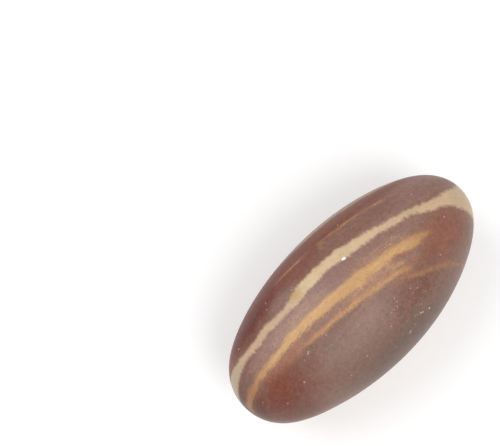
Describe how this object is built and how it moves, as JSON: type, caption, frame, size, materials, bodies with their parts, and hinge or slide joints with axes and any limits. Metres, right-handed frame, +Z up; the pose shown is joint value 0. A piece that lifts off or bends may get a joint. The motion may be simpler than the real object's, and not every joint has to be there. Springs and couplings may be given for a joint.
{
  "type": "river pebble",
  "caption": "Long, smooth, egg-like river pebble of banded red-brown jasper with cream and ochre bands, lying on a small worn flat.",
  "frame": {"origin": "on the surface that the stone rests on, under the middle of its bounding box", "axes": "+X along the stone's length towards its slimmer end, +Y across it towards the side with the cream band, +Z up, through its shortest extent"},
  "size_m": [0.076, 0.038, 0.034],
  "materials": {
    "banded_stone": "smooth, softly polished jasper in mauve-brown and brick red with serrated cream bands and soft ochre bands"
  },
  "bodies": {
    "root": {"pebble": "banded_stone"}
  },
  "joints": []
}
